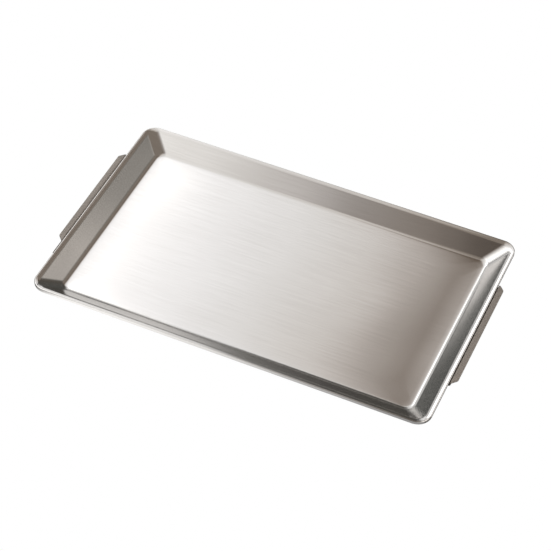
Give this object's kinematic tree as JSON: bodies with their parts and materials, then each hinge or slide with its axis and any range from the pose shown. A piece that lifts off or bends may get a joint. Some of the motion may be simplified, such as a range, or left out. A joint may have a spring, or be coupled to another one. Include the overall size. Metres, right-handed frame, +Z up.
{
  "type": "shallow steel tray",
  "caption": "Shallow rectangular sheet-steel tray with sloping walls, a rolled rim and a narrow grip strip under the rim at each short end.",
  "frame": {"origin": "centre of the flat underside of the floor, which is the bottom centre of the whole tray", "axes": "+X along the length, towards one grip strip, +Y across the width, +Z up out of the tray"},
  "size_m": [0.3308, 0.204, 0.012],
  "materials": {
    "pan_steel": "satin, fine grain along the length",
    "strip_steel": "satin, fine grain along the strip"
  },
  "bodies": {
    "root": {"pan": "pan_steel", "handle_left": "strip_steel", "handle_right": "strip_steel"}
  },
  "joints": []
}
